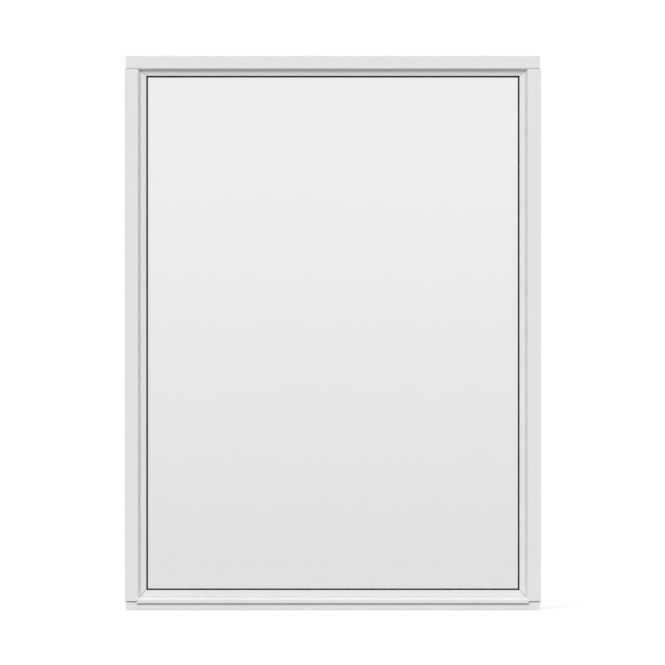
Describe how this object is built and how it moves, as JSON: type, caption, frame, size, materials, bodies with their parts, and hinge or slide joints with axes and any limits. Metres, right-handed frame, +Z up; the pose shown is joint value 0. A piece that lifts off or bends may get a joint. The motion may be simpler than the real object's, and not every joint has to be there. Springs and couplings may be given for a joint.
{
  "type": "fixed picture window",
  "caption": "Tall fixed picture window: white aluminium-clad timber frame with mitred glazing beads, a drip rail, black gaskets and a sealed glazing unit.",
  "frame": {"origin": "middle of the sill's underside: midway between the jambs and midway between the outside face and the room face of the frame", "axes": "+X to the right seen from outside, +Y from outside to the room, +Z up"},
  "size_m": [0.8916, 0.1172, 1.188],
  "materials": {
    "cladding": "white powder coat, satin",
    "cap": "white, satin",
    "timber": "white paint, satin",
    "gasket": "matt black",
    "glass": "clear",
    "spacer": "matt black",
    "block": "matt"
  },
  "bodies": {
    "root": {"head": "timber", "sill": "timber", "left_jamb": "timber", "right_jamb": "timber", "head_cladding": "cladding", "left_jamb_cladding": "cladding", "right_jamb_cladding": "cladding", "sill_cladding": "cladding", "drip_rail": "cladding", "left_drip_cap": "cap", "right_drip_cap": "cap", "top_bead": "cladding", "left_bead": "cladding", "right_bead": "cladding", "bottom_bead": "cladding", "outside_gasket": "gasket", "inside_gasket": "gasket", "outer_pane": "glass", "middle_pane": "glass", "inner_pane": "glass", "outer_spacer": "spacer", "inner_spacer": "spacer", "setting_blocks": "block"}
  },
  "joints": []
}
